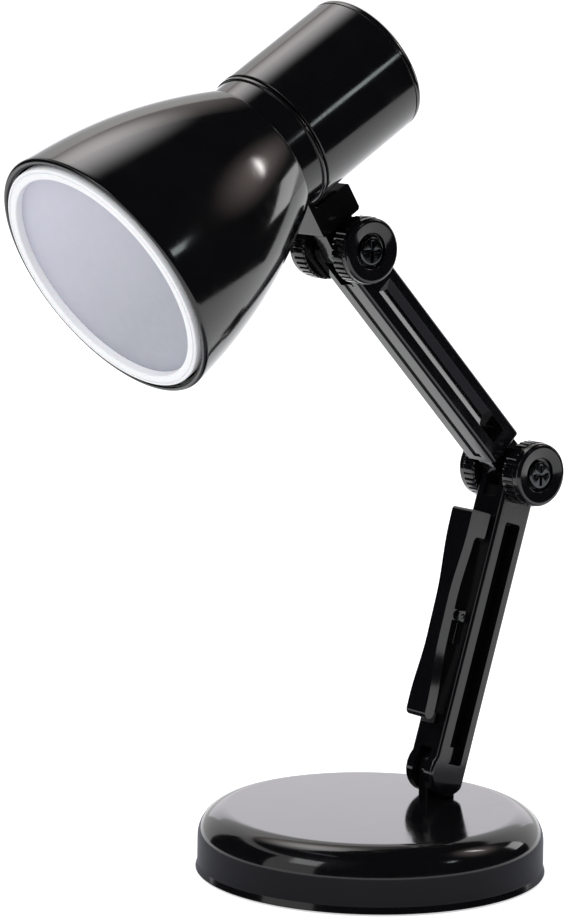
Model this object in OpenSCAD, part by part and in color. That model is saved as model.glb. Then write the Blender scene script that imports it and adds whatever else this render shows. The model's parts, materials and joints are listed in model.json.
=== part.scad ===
// Small battery desk lamp on a folding arm: a weighted round base, two hinged
// arm sections with knurled knobs, a spring clip on the lower section, and a
// bell-shaped head with a twist cap over its button cells.
// Millimetres, +Z up. The origin is the centre of the base's underside, the
// head looks towards -Y, and every fold turns about an axis along X.

/* [Base] */
// Outer radius of the base cover
base_r = 30; // [26:0.5:40]
// Height of the base's flat top above the surface it stands on
base_h = 11; // [10:0.5:16]
// Radius of the rounded top edge
base_edge_r = 5.2; // [3:0.1:6]
// Wall of the base cover
base_wall = 2; // [1.6:0.1:3]
// How far the cover spreads at its very foot
base_flare = 0.35; // [0:0.05:0.6]
// Thickness of the rubber pad that the lamp stands on
pad_t = 0.8; // [0.6:0.1:1.5]
// How far the pad stands out below the cover
pad_drop = 0.3; // [0.2:0.1:0.5]
// Thickness of the bottom plate
plate_t = 1.4; // [1.2:0.1:2]
// Radius of the ballast disc
weight_r = 24; // [18:0.5:26]
// Thickness of the ballast disc
weight_t = 5.2; // [3:0.1:6]
// Radius of the circle that the cover's screws stand on
boss_circle_r = 18; // [12:0.5:20]
// Number of screws that hold the bottom plate
boss_count = 3; // [3:1:5]

/* [Lower hinge] */
// Distance of the lower hinge behind the base's centre
base_pivot_y = 14.9; // [8:0.1:18]
// Height of the lower hinge above the base's flat top
base_pivot_rise = 4.7; // [4.7:0.1:7]
// Thickness of the lug that stands on the base
lug_t = 2.4; // [2:0.1:3]
// Radius of the lug's round top
lug_r = 3.2; // [2.4:0.1:3.4]
// Radius of the hinge pin in the lug
pin_r = 0.9; // [0.7:0.05:1.1]
// Thickness of the friction washers beside the lug
washer_t = 0.25; // [0.2:0.05:0.4]

/* [Arm] */
// Width of both arm sections, along the hinge axes
arm_w = 7.2; // [6.6:0.1:9]
// Depth of both arm sections, front to back
arm_d = 7.4; // [7:0.1:9]
// Radius of the arm's long edges
arm_edge_r = 0.6; // [0.3:0.1:1]
// Distance between the lower section's hinge axes
lower_len = 54.2; // [50:0.5:80]
// Distance between the upper section's hinge axes
upper_len = 56.6; // [50:0.5:80]
// Lean of the lower section behind the vertical
lower_lean = 17.1; // [0:0.5:30]
// Angle between the two sections, 0 in one line
elbow_bend = 60.6; // [20:0.5:80]
// Radius of the lower section's round foot
foot_r = 4.4; // [4:0.1:4.4]
// Depth of the pockets in the arm's sides
pocket_depth = 2.6; // [2:0.1:3]
// Width of the lower section's flange in front of its pocket
lower_front_rail_w = 2.2; // [1.6:0.1:2.6]
// Width of the lower section's flange behind its pocket
lower_rear_rail_w = 1.7; // [1.4:0.1:2.2]
// Distance from the elbow's axis to the lower section's pocket
lower_pocket_end = 9.3; // [8.5:0.1:12]
// Width of the upper section's flange in front of its pocket
upper_front_rail_w = 2.2; // [1.6:0.1:2.6]
// Width of the upper section's flange behind its pocket
upper_rear_rail_w = 2; // [1.4:0.1:2.4]
// Distance from the elbow's axis to the upper section's pocket
upper_pocket_start = 9.4; // [8.5:0.1:11]
// Distance from the elbow's axis to the V-shaped channel above that pocket
channel_start = 14.3; // [12:0.1:18]
// Distance from the neck's axis to the other end of the channel
channel_end = 8.8; // [8:0.1:12]
// Depth of the V-shaped channel
channel_depth = 1.3; // [0.6:0.05:1.6]
// Width of the groove along the upper section's front
groove_w = 2; // [0.5:0.1:2.6]
// Depth of that groove
groove_d = 0.3; // [0.2:0.05:0.5]

/* [Elbow and neck joints] */
// Radius of the tongues' round ends
tongue_r = 3.2; // [2.8:0.1:3.4]
// Thickness of the tongue between two ears
tongue_t = 3.3; // [2.6:0.1:3.5]
// Radius of the joint screws' shanks
shank_r = 1.25; // [1:0.05:1.5]
// Distance from the elbow's axis to the upper section's shoulder
elbow_shoulder = 6.1; // [5.6:0.1:7]

/* [Knobs] */
// Radius of the knurled knobs
knob_r = 5.7; // [5:0.1:6.5]
// Thickness of a knob
knob_t = 4.2; // [3.6:0.1:5]
// Length of the knurled band
knurl_len = 2.8; // [2:0.1:3.2]
// Number of knurls round a knob
knurl_count = 36; // [24:1:48]
// Radius of each groove between two knurls
knurl_r = 0.22; // [0.15:0.01:0.3]
// Radius of the round recess in a knob's face
knob_recess_r = 3; // [2.8:0.05:3.6]
// Depth of that recess
knob_recess_d = 1.1; // [0.8:0.1:1.4]
// Radius of the joint screws' heads
screw_head_r = 2.45; // [2:0.05:2.6]
// Thickness of the joint screws' heads
screw_head_t = 0.9; // [0.7:0.1:1]
// Distance across the flats of the joint nuts
nut_af = 4.4; // [4:0.1:5]
// Thickness of the joint nuts
nut_t = 1.5; // [1.2:0.1:1.8]

/* [Clip] */
// Distance of the clip's toe above the lower hinge
toe_height = 9.3; // [8:0.1:12]
// Distance of the clip's top edge above the lower hinge
clip_top = 45.5; // [40:0.5:46]
// Thickness of the clip's lever
clip_t = 2.1; // [1.8:0.1:2.6]
// How far the lever's outer face stands in front of the arm, at the top
clip_out_top = 5.3; // [5:0.1:6]
// How far it stands in front of the arm, at the toe
clip_out_toe = 4.5; // [4.3:0.1:5]
// Width of the thumb pad at the top
clip_top_w = 5.3; // [4.5:0.1:6.5]
// Width of the lever's waist
clip_waist_w = 3.2; // [2.9:0.1:4]
// Width of the toe
clip_toe_w = 5; // [4:0.1:6]
// Thickness of the soft pad behind the toe
clip_pad_t = 1.9; // [1.2:0.1:1.9]
// Height of the clip's pivot above the lower hinge
clip_pivot_height = 27; // [24:0.5:30]
// Distance of the clip's pivot in front of the arm
clip_pivot_out = 1.25; // [1.2:0.05:1.4]
// Radius of the clip's pin
clip_pin_r = 0.45; // [0.35:0.05:0.5]
// Diameter of the clip spring's wire
spring_wire = 0.28; // [0.24:0.02:0.3]
// Turns of the clip spring
spring_turns = 2.5; // [1.5:1:2.5]
// Distance from one turn of the clip spring to the next
spring_pitch = 0.74; // [0.72:0.01:0.78]

/* [Head] */
// Tilt of the head below the horizontal
head_tilt = 31.9; // [0:0.5:60]
// Distance of the neck's axis behind the mouth's plane
neck_to_mouth = 43.2; // [42.8:0.1:44]
// Height of the head's axis above the neck's axis
axis_rise = 23.9; // [23.6:0.1:26]
// Radius of the shade's mouth
mouth_r = 22.6; // [20:0.1:24]
// Length of the shade
shade_len = 34.6; // [32:0.2:36]
// Radius of the shade's rear end
shade_rear_r = 13; // [12.8:0.1:14]
// Wall of the shade
shade_wall = 1.3; // [1:0.1:1.6]
// Outer radius of the white bezel ring
bezel_r = 20.9; // [18.5:0.1:21]
// Inner radius of the white bezel ring
bezel_inner_r = 19; // [16:0.1:19.2]
// Thickness of the frosted diffuser
diffuser_t = 1; // [0.8:0.1:1.6]
// Radius of the collar behind the shade
collar_r = 12.1; // [11.9:0.1:12.4]
// Length of the collar
collar_len = 5; // [4:0.1:5.2]
// Width of the neck bracket under the collar
bracket_w = 6.6; // [5.5:0.1:7]

/* [Battery cap] */
// Radius of the cap
cap_r = 12.45; // [12.2:0.05:13]
// Length of the cap
cap_len = 23.4; // [22.8:0.2:34]
// Wall of the cap
cap_wall = 1.4; // [1.2:0.1:1.8]
// Radius of the cap's rear edge
cap_edge_r = 1.1; // [0.6:0.1:1.2]
// Radius of one button cell
cell_r = 5.8; // [5.8:0.1:6]
// Thickness of one button cell
cell_t = 5.4; // [5.2:0.1:5.4]
// Wire diameter of the contact spring
contact_wire = 0.5; // [0.4:0.05:0.6]
// Turns of the contact spring
contact_turns = 3; // [2:1:3]

/* [Hidden] */

$fn = 96;
fit_gap = 0.05;                 // radial clearance of every pin and shank
seat_gap = 0.02;                // clearance of a piece pressed into its own seat
slide_gap = 0.1;                // side clearance between ears, tongues and knobs
joint_gap = 0.3;                // clearance between pieces that turn past each other
screw_gap = 0.15;               // radial clearance of the bottom plate's screw holes
over = 1;                       // how far a cut runs past the face that it opens
overlap = 0.5;                  // how far a boss, lug or ear sinks into the wall that it grows from
black = [0.045, 0.045, 0.05];
satin_black = [0.07, 0.07, 0.075];
steel = [0.72, 0.73, 0.75];
white = [0.93, 0.93, 0.95];

// Base
cover_z = pad_drop;
flare_h = 1.2;
plate_z = pad_t;
plate_gap = 0.4;
plate_r = base_r - base_wall - plate_gap;
pad_inset = 1;
pad_r = plate_r - pad_inset;
ceiling_z = base_h - base_wall;
weight_z = plate_z + plate_t + seat_gap;
boss_r = 2.3;
pilot_r = 0.8;
base_screw_r = pilot_r - seat_gap;
base_screw_head_r = 1.7;
base_screw_head_t = 0.7;
base_screw_len = 5;
base_cross_w = 0.35;
base_cross_half = 1.1;
base_cross_d = 0.45;
base_pivot_z = base_h + base_pivot_rise;
foot_slot = lug_t + 2 * (washer_t + slide_gap);
foot_shoulder = lug_r + joint_gap;
washer_r = 2.6;
pin_skin = 0.7;                 // wall that covers the pin's end on the near side

// Arm
lower_front = arm_d / 2;
ear_r = arm_d / 2;
tongue_slot = tongue_t + 2 * slide_gap;
ear_slot_depth = elbow_shoulder - 2 * joint_gap;
pocket_r = 0.5;
foot_bridge = 0.8;              // material between the foot's slot and the deep pockets
cheek_skin = 0.6;               // wall left between a cheek's pocket and the lug's slot
pin_wall = 0.5;                 // material between the foot's pin and the pockets
lower_pocket_from = foot_shoulder + foot_bridge;
lower_pocket_to = lower_len - lower_pocket_end;
cheek_pocket_from = pin_r + pin_wall;
cheek_pocket_depth = (arm_w - foot_slot) / 2 - cheek_skin;
channel_to = upper_len - channel_end;
groove_end = 1.5;
groove_from = elbow_shoulder + groove_end;
groove_to = upper_len - ear_r - groove_end;

// Knobs
knob_x = arm_w / 2 + slide_gap;
knob_step = 0.15;
knob_edge_r = 0.6;
knob_chamfer = 0.35;
knob_rim_w = 0.9;
knob_floor_z = knob_t - knob_recess_d;
nut_gap = 0.05;
nut_seat_z = knob_floor_z - nut_t - nut_gap;
screw_edge_r = 0.35;
screw_cross_half = 1.7;
screw_cross_w = 0.55;
screw_cross_d = 0.5;
screw_short = 0.4;              // how far the screw's end lies below the far knob's recess
screw_end_z = -arm_w - 2 * slide_gap - knob_floor_z + screw_short;

// Clip, in the lower section's own frame: front is -Y
clip_pivot_y = -lower_front - clip_pivot_out;
clip_ear_t = 0.6;
clip_cheek_t = 0.4;
clip_cheek_x = clip_waist_w / 2 - clip_cheek_t;
clip_side_gap = 0.15;
clip_ear_x = clip_waist_w / 2 + clip_side_gap;
clip_ear_r = clip_pivot_out - joint_gap;
clip_thumb_blend = [0.55, 0.92]; // shares of the lever's height between which the thumb pad widens
clip_toe_blend = [0.36, 0.04];  // shares between which the toe widens
clip_chamfer = 0.5;
lug_height = 4.5;
lug_gap = 0.9;
clip_pad_w = 2;
clip_pad_len = 2;
clip_pad_rise = 0.3;
coil_gap = 0.05;
spring_mean_r = clip_pin_r + fit_gap + spring_wire / 2 + coil_gap;
spring_len = spring_turns * spring_pitch;
spring_leg = 5;

// Head, with z along the head's axis from the mouth's plane to the rear
collar_gap = 0.05;
collar_z = shade_len + collar_gap;
cap_z = collar_z + collar_len + joint_gap;
neck_z = neck_to_mouth;
lip_r = 0.55;
bezel_z = -0.5;
bezel_len = 2.4;
bezel_seat_w = 0.8;
bezel_groove_x = 1.2;
bezel_groove_w = 0.3;
bezel_groove_d = 0.2;
diffuser_z = 0.9;
reflector_gap = 0.1;
reflector_from = diffuser_z + diffuser_t + reflector_gap;
reflector_to = 26;
reflector_rear_r = 7.4;
reflector_wall = 0.8;
reflector_inset = 1;
reflector_front_r = bezel_inner_r - reflector_inset;
board_z = reflector_to + reflector_gap;
board_t = 1;
board_r = 9;
board_hole_r = 0.6;
chip_size = 2.2;
chip_t = 0.7;
chip_circle_r = 3.6;
chip_count = 3;
spigot_step = 1.6;
spigot_front_len = 3;
spigot_rear_len = 5;
spigot_r = collar_r - spigot_step;
spigot_z = collar_z - spigot_front_len;
spigot_len = spigot_front_len + collar_len + spigot_rear_len;
holder_gap = 0.1;
holder_wall = 1.3;
holder_r = cell_r + holder_gap + holder_wall;
cell_count = 3;
cell_gap = 0.05;
cells_rise = 1.5;
cells_z = collar_z + cells_rise;
cells_len = cell_count * (cell_t + cell_gap);
holder_past_cells = 1.2;
holder_len = cells_len + holder_past_cells;
contact_t = 0.4;
contact_inset = 0.4;
collar_lip_h = 0.3;
collar_lip_w = 0.7;
bracket_root = 1.1;             // length of the collar that the bracket grows from
bracket_past_neck = 4.3;
bracket_cap_gap = 0.9;
tongue_len = 5.3;
bracket_front_z = collar_z + collar_len - bracket_root;
bracket_rear_z = neck_z + bracket_past_neck;
bracket_bottom = axis_rise - tongue_len;
bracket_top = cap_r + bracket_cap_gap;

// Points of a cubic curve through two ends, steered by two handles
function bezier(p, steps) = [for (i = [0 : steps]) let (t = i / steps, u = 1 - t)
    u * u * u * p[0] + 3 * u * u * t * p[1] + 3 * u * t * t * p[2] + t * t * t * p[3]];

// Radius and height along the shade's outer wall, from its mouth to its rear
shade_mouth = [mouth_r, 0];
shade_rear = [shade_rear_r, shade_len];
shade_mouth_handle = [-1.1, 14];
shade_rear_handle = [4.9, -9.8];
shade_steps = 18;
shade_curve = bezier([shade_mouth, shade_mouth + shade_mouth_handle, shade_rear + shade_rear_handle,
                      shade_rear], shade_steps);

// Frames of the moving groups, each with its hinge at the origin
module lower_frame() {
    translate([0, base_pivot_y, base_pivot_z]) rotate([-lower_lean, 0, 0]) children();
}

module upper_frame() {
    lower_frame() translate([0, 0, lower_len]) rotate([elbow_bend, 0, 0]) children();
}

module head_frame() {
    upper_frame() translate([0, 0, upper_len]) rotate([head_tilt - elbow_bend + lower_lean, 0, 0]) children();
}

// z runs from the mouth's plane to the rear, and +Y points down to the neck
module head_axis() {
    head_frame() translate([0, -neck_to_mouth, axis_rise]) rotate([-90, 0, 0]) children();
}

module clip_frame() {
    lower_frame() translate([0, clip_pivot_y, clip_pivot_height]) children();
}

// A cylinder along X from x to x + len
module bar_x(x, len, r) {
    translate([x, 0, 0]) rotate([0, 90, 0]) cylinder(h = len, r = r);
}

module centred_bar_x(len, r) {
    bar_x(-len / 2, len, r);
}

// A block centred in X and Y that rises from z
module block(w, d, z, h) {
    translate([-w / 2, -d / 2, z]) cube([w, d, h]);
}

module rounded_rect(w, d, r) {
    square([w - 2 * r, d], center = true);
    square([w, d - 2 * r], center = true);
    for (x = [-1, 1], y = [-1, 1]) translate([x * (w / 2 - r), y * (d / 2 - r)]) circle(r);
}

// Half of a round profile with a rounded outer top edge, for a turned solid
module turned_profile(r, z0, z1, edge) {
    translate([0, z0]) square([r - edge, z1 - z0]);
    translate([0, z0]) square([r, z1 - z0 - edge]);
    translate([r - edge, z1 - edge]) intersection() {
        circle(edge);
        square(edge * 2);
    }
}

module ring(r_out, r_in, z, h) {
    translate([0, 0, z]) difference() {
        cylinder(h = h, r = r_out);
        translate([0, 0, -over]) cylinder(h = h + 2 * over, r = r_in);
    }
}

module at_bosses() {
    for (i = [0 : boss_count - 1]) rotate([0, 0, -90 + i * 360 / boss_count])
        translate([boss_circle_r, 0, 0]) children();
}

// ---- Base ----

module base_cover() color(black) {
    difference() {
        union() {
            rotate_extrude() difference() {
                union() {
                    turned_profile(base_r, cover_z, base_h, base_edge_r);
                    polygon([[0, cover_z], [base_r + base_flare, cover_z],
                             [base_r, cover_z + flare_h], [0, cover_z + flare_h]]);
                }
                turned_profile(base_r - base_wall, cover_z - over, ceiling_z, base_edge_r - base_wall);
            }
            at_bosses() translate([0, 0, weight_z]) cylinder(h = ceiling_z + overlap - weight_z, r = boss_r);
            translate([0, base_pivot_y, 0]) {
                block(lug_t, 2 * lug_r, ceiling_z + overlap, base_pivot_z - ceiling_z - overlap);
                translate([0, 0, base_pivot_z]) centred_bar_x(lug_t, lug_r);
            }
        }
        at_bosses() translate([0, 0, weight_z - over]) cylinder(h = base_screw_len + 2 * over, r = pilot_r);
        translate([0, base_pivot_y, base_pivot_z]) centred_bar_x(lug_t + 2 * over, pin_r + fit_gap);
    }
}

module base_weight() color("dimgray") {
    difference() {
        translate([0, 0, weight_z]) cylinder(h = weight_t, r = weight_r);
        at_bosses() translate([0, 0, weight_z - over])
            cylinder(h = weight_t + 2 * over, r = boss_r + joint_gap);
    }
}

module base_plate() color(satin_black) {
    difference() {
        translate([0, 0, plate_z]) cylinder(h = plate_t, r = plate_r);
        at_bosses() translate([0, 0, plate_z - over]) {
            cylinder(h = plate_t + 2 * over, r = base_screw_r + screw_gap);
            cylinder(h = base_screw_head_t + over, r = base_screw_head_r + screw_gap);
        }
    }
}

module base_screws() color(steel) {
    at_bosses() difference() {
        union() {
            translate([0, 0, plate_z + seat_gap])
                cylinder(h = base_screw_head_t - 2 * seat_gap, r = base_screw_head_r);
            translate([0, 0, plate_z + seat_gap]) cylinder(h = base_screw_len, r = base_screw_r);
        }
        translate([0, 0, plate_z - over]) cross_recess(base_cross_w, base_cross_half, over + base_cross_d);
    }
}

module base_pad() color("black") {
    cylinder(h = pad_t, r = pad_r);
}

// A cross slot cut upwards from z = 0
module cross_recess(w, span, depth) {
    for (a = [0, 90]) rotate([0, 0, a]) block(w, 2 * span, 0, depth);
}

// ---- Lower arm ----

// Width of a pocket between its two flanges, and the middle of it
function pocket_w(front_rail, rear_rail) = arm_d - front_rail - rear_rail;
function pocket_y(front_rail, rear_rail) = (front_rail - rear_rail) / 2;

// Pockets in both sides of an arm section, from one height to another
module side_pockets(front_rail, rear_rail, from, to, depth) {
    for (side = [-1, 1])
        translate([side * arm_w / 2, pocket_y(front_rail, rear_rail), (from + to) / 2]) rotate([0, 90, 0])
            translate([0, 0, -depth]) linear_extrude(2 * depth)
                rounded_rect(to - from, pocket_w(front_rail, rear_rail), pocket_r);
}

// The block with rounded long edges that an arm section is cut from, round at its upper end
module arm_bar(from, to) {
    intersection() {
        translate([0, 0, from]) linear_extrude(to + ear_r - from) rounded_rect(arm_w, arm_d, arm_edge_r);
        union() {
            block(arm_w, arm_d, from, to - from);
            translate([0, 0, to]) centred_bar_x(arm_w, ear_r);
        }
    }
}

// The slot between two ears, which takes the next section's tongue
module ear_slot() {
    block(tongue_slot, arm_d + 2 * over, -ear_slot_depth, ear_slot_depth + ear_r + over);
}

// The round foot, flush with the back of the arm
module foot() {
    intersection() {
        centred_bar_x(arm_w, foot_r);
        translate([0, lower_front - foot_r, 0]) block(arm_w + over, 2 * foot_r, -foot_r, 2 * foot_r);
    }
}

module lower_arm() color(satin_black) lower_frame() {
    difference() {
        union() {
            arm_bar(0, lower_len);
            foot();
            for (side = [-1, 1])
                translate([side * (clip_ear_x + clip_ear_t / 2), clip_pivot_y, clip_pivot_height]) {
                    centred_bar_x(clip_ear_t, clip_ear_r);
                    translate([-clip_ear_t / 2, 0, -clip_ear_r])
                        cube([clip_ear_t, clip_pivot_out + overlap, 2 * clip_ear_r]);
                }
        }
        block(foot_slot, 2 * (foot_r + over), -foot_r - over, foot_r + over + foot_shoulder);
        translate([0, 0, lower_len]) ear_slot();
        bar_x(-arm_w / 2 - over, arm_w + over - pin_skin, pin_r + seat_gap);
        translate([0, 0, lower_len]) centred_bar_x(arm_w + 2 * over, shank_r + fit_gap);
        side_pockets(lower_front_rail_w, lower_rear_rail_w, lower_pocket_from, lower_pocket_to, pocket_depth);
        side_pockets(lower_front_rail_w, lower_rear_rail_w, cheek_pocket_from,
                     lower_pocket_from + 2 * pocket_r, cheek_pocket_depth);
        translate([0, clip_pivot_y, clip_pivot_height]) centred_bar_x(arm_w, clip_pin_r + seat_gap);
    }
}

module base_hinge_pin() color(steel) lower_frame() {
    bar_x(-arm_w / 2 + seat_gap, arm_w - pin_skin - 2 * seat_gap, pin_r);
}

module base_washers() color(steel) lower_frame() {
    for (side = [-1, 1]) translate([side * (lug_t / 2 + slide_gap / 2 + washer_t / 2), 0, 0]) difference() {
        centred_bar_x(washer_t, washer_r);
        centred_bar_x(washer_t + 2 * over, pin_r + seat_gap);
    }
}

// ---- Knobs: z runs outwards from the arm's side ----

module knob_body() {
    linear_extrude(knurl_len) difference() {
        circle(knob_r);
        for (i = [0 : knurl_count - 1]) rotate(i * 360 / knurl_count)
            translate([knob_r, 0]) circle(knurl_r, $fn = 16);
    }
    translate([0, 0, knurl_len]) rotate_extrude()
        turned_profile(knob_r - knob_step, -overlap / 2, knob_t - knurl_len, knob_edge_r);
}

// The far knobs have a hexagonal seat for the joint's nut
module knob(bore_r, has_nut_seat) {
    difference() {
        knob_body();
        translate([0, 0, knob_floor_z]) cylinder(h = knob_recess_d + over, r = knob_recess_r);
        translate([0, 0, knob_t - knob_chamfer])
            cylinder(h = knob_chamfer, r1 = knob_recess_r, r2 = knob_r - knob_rim_w);
        translate([0, 0, -over]) cylinder(h = knob_t + over, r = bore_r);
        if (has_nut_seat) translate([0, 0, nut_seat_z]) nut_prism(nut_af + 2 * nut_gap, knob_t);
    }
}

module nut_prism(across_flats, h) {
    cylinder(h = h, r = across_flats / 2 / cos(30), $fn = 6);
}

module joint_nut() {
    translate([0, 0, nut_seat_z + seat_gap]) difference() {
        nut_prism(nut_af, nut_t);
        translate([0, 0, -over]) cylinder(h = nut_t + 2 * over, r = shank_r + fit_gap);
    }
}

module joint_screw() {
    translate([0, 0, knob_floor_z + seat_gap]) difference() {
        rotate_extrude() turned_profile(screw_head_r, 0, screw_head_t, screw_edge_r);
        translate([0, 0, screw_head_t - screw_cross_d])
            cross_recess(screw_cross_w, screw_cross_half, screw_cross_d + over);
    }
    translate([0, 0, screw_end_z]) cylinder(h = knob_floor_z + 2 * seat_gap - screw_end_z, r = shank_r);
}

module near_side() {
    translate([knob_x, 0, 0]) rotate([0, 90, 0]) children();
}

module far_side() {
    translate([-knob_x, 0, 0]) rotate([0, -90, 0]) children();
}

module elbow_frame() {
    lower_frame() translate([0, 0, lower_len]) children();
}

module neck_frame() {
    upper_frame() translate([0, 0, upper_len]) children();
}

module elbow_knob() color(black) elbow_frame() near_side() knob(shank_r + seat_gap, false);
module elbow_screw() color(steel) elbow_frame() near_side() joint_screw();
module elbow_far_knob() color(black) elbow_frame() far_side() knob(shank_r + fit_gap, true);
module elbow_nut() color(steel) elbow_frame() far_side() joint_nut();
module neck_knob() color(black) neck_frame() near_side() knob(shank_r + seat_gap, false);
module neck_screw() color(steel) neck_frame() near_side() joint_screw();
module neck_far_knob() color(black) neck_frame() far_side() knob(shank_r + fit_gap, true);
module neck_nut() color(steel) neck_frame() far_side() joint_nut();

// ---- Upper arm ----

// The V-shaped channels in both sides of the upper section
module side_channels() {
    half = pocket_w(upper_front_rail_w, upper_rear_rail_w) / 2;
    middle = pocket_y(upper_front_rail_w, upper_rear_rail_w);
    face = arm_w / 2;
    for (side = [-1, 1]) translate([0, middle, channel_start - pocket_r])
        linear_extrude(channel_to - channel_start + pocket_r) polygon([
            [side * (face - channel_depth), 0], [side * face, half], [side * (face + over), half],
            [side * (face + over), -half], [side * face, -half]]);
}

module upper_arm() color(satin_black) upper_frame() {
    difference() {
        union() {
            arm_bar(elbow_shoulder, upper_len);
            block(tongue_t, 2 * tongue_r, 0, elbow_shoulder + overlap);
            centred_bar_x(tongue_t, tongue_r);
        }
        centred_bar_x(arm_w, shank_r + fit_gap);
        translate([0, 0, upper_len]) {
            centred_bar_x(arm_w + 2 * over, shank_r + fit_gap);
            ear_slot();
        }
        side_pockets(upper_front_rail_w, upper_rear_rail_w, upper_pocket_start, channel_start, pocket_depth);
        side_channels();
        translate([0, -arm_d / 2, 0]) block(groove_w, 2 * groove_d, groove_from, groove_to - groove_from);
    }
}

// ---- Clip ----

// Half width of the lever at a height from 0 (toe) to 1 (top)
function clip_half_w(u) = let (
        thumb = clip_blend(u, clip_thumb_blend),
        toe = clip_blend(u, clip_toe_blend))
    (clip_waist_w + (clip_top_w - clip_waist_w) * thumb + (clip_toe_w - clip_waist_w) * toe) / 2;

// Runs smoothly from 0 to 1 while u goes from the first share to the second
function clip_blend(u, span) = (1 - cos(180 * min(max((u - span[0]) / (span[1] - span[0]), 0), 1))) / 2;

clip_span = clip_top - toe_height;
clip_outline_steps = 40;
clip_right = [for (i = [0 : clip_outline_steps]) let (u = i / clip_outline_steps)
    [clip_half_w(u), u * clip_span]];
clip_left = [for (i = [clip_outline_steps : -1 : 0]) [-clip_right[i][0], clip_right[i][1]]];

// Side outline of the lever, in the clip's frame: x is -Y (out), y is up
toe_y = clip_out_toe - clip_pivot_out - clip_t / 2;
toe_z = toe_height - clip_pivot_height;
top_y = clip_out_top - clip_pivot_out - clip_t / 2;
top_z = clip_top - clip_pivot_height;

module clip_side_outline() {
    half = clip_t / 2;
    toe = [toe_y, toe_z];
    polygon([[toe_y - half, toe_z], [toe_y + half, toe_z],
             [top_y + half, top_z - clip_chamfer], [top_y + half - clip_chamfer, top_z],
             [lug_gap - clip_pivot_out, top_z], [lug_gap - clip_pivot_out, top_z - lug_height],
             [top_y - half, top_z - lug_height]]);
    translate(toe) circle(half);
}

module clip_leaf() color(black) clip_frame() {
    difference() {
        union() {
            intersection() {
                rotate([90, 0, -90]) translate([0, 0, -clip_top_w]) linear_extrude(2 * clip_top_w)
                    clip_side_outline();
                translate([0, lower_front, toe_z]) rotate([90, 0, 0])
                    linear_extrude(arm_d + 2 * clip_out_top) {
                        polygon(concat(clip_right, clip_left));
                        translate([-clip_toe_w / 2, -clip_t]) square([clip_toe_w, clip_t + seat_gap]);
                    }
            }
            for (side = [-1, 1]) translate([side * (clip_cheek_x + clip_cheek_t / 2), 0, 0]) {
                centred_bar_x(clip_cheek_t, clip_ear_r);
                translate([-clip_cheek_t / 2, -toe_y, -clip_ear_r])
                    cube([clip_cheek_t, toe_y, 2 * clip_ear_r]);
            }
        }
        centred_bar_x(arm_w, clip_pin_r + fit_gap);
    }
}

module clip_pad() color("dimgray") clip_frame() {
    translate([-clip_pad_w / 2, clip_pivot_out - joint_gap - clip_pad_t,
               toe_z + clip_pad_rise - clip_pad_len])
        cube([clip_pad_w, clip_pad_t, clip_pad_len]);
}

module clip_pin() color(steel) clip_frame() {
    centred_bar_x(2 * (clip_ear_x + clip_ear_t), clip_pin_r);
}

// A tube of six-sided rings along a list of points
function unit(v) = v / norm(v);
function ring_at(points, i, r, sides, side_dir) = let (
        last = len(points) - 1,
        along = unit(points[min(i + 1, last)] - points[max(i - 1, 0)]),
        a = unit(cross(along, side_dir)),
        b = cross(along, a))
    [for (k = [0 : sides - 1]) points[i] + r * (cos(360 * k / sides) * a + sin(360 * k / sides) * b)];

module swept_tube(points, r, side_dir) {
    sides = 6;
    count = len(points);
    rings = [for (i = [0 : count - 1]) each ring_at(points, i, r, sides, side_dir)];
    skin = [for (i = [0 : count - 2], k = [0 : sides - 1]) let (
            a = i * sides + k, b = i * sides + (k + 1) % sides) each
        [[a, b + sides, b], [a, a + sides, b + sides]]];
    cap0 = [for (k = [1 : sides - 2]) [0, k, k + 1]];
    cap1 = [for (k = [1 : sides - 2]) [0, k + 1, k] + (count - 1) * sides * [1, 1, 1]];
    polyhedron(points = rings, faces = concat(skin, cap0, cap1), convexity = 6);
}

// Least distance between points of a path that lie at least `apart` steps from each other
function least_distance(p, apart) = min([for (i = [0 : len(p) - 1], j = [0 : len(p) - 1])
    if (j - i >= apart) norm(p[i] - p[j])]);

rings_per_turn = 12;
// The coil runs along X round the clip's pin, and a straight leg leaves each end
clip_coil = [for (i = [0 : spring_turns * rings_per_turn]) let (a = 360 * i / rings_per_turn)
    [-spring_len / 2 + spring_pitch * i / rings_per_turn, -spring_mean_r * cos(a), spring_mean_r * sin(a)]];
spring_points = concat(
    [[-spring_len / 2, -spring_mean_r, -spring_leg]],
    clip_coil,
    [[spring_len / 2, spring_mean_r, -spring_leg]]);

module clip_spring() color(steel) clip_frame() {
    swept_tube(spring_points, spring_wire / 2, [1, 0, 0.001]);
}

// ---- Head ----

module head_collar() color(black) {
    head_axis() difference() {
        union() {
            rotate_extrude() difference() {
                union() {
                    translate([0, collar_z]) square([collar_r, collar_len]);
                    translate([0, collar_z + collar_len - collar_lip_w])
                        square([collar_r + collar_lip_h, collar_lip_w]);
                    translate([0, spigot_z]) square([spigot_r, spigot_len]);
                }
                translate([-over, spigot_z - over])
                    square([holder_r + holder_gap + over, spigot_len + 2 * over]);
            }
            translate([-bracket_w / 2, spigot_r - overlap / 2, bracket_front_z])
                cube([bracket_w, bracket_top + overlap - spigot_r, collar_z + collar_len - bracket_front_z]);
            translate([-bracket_w / 2, bracket_top, bracket_front_z])
                cube([bracket_w, bracket_bottom - bracket_top, bracket_rear_z - bracket_front_z]);
            translate([-tongue_t / 2, bracket_bottom - overlap, neck_z - tongue_r])
                cube([tongue_t, axis_rise - bracket_bottom + overlap, 2 * tongue_r]);
            translate([0, axis_rise, neck_z]) centred_bar_x(tongue_t, tongue_r);
        }
        translate([0, axis_rise, neck_z]) centred_bar_x(arm_w, shank_r + fit_gap);
    }
}

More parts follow.
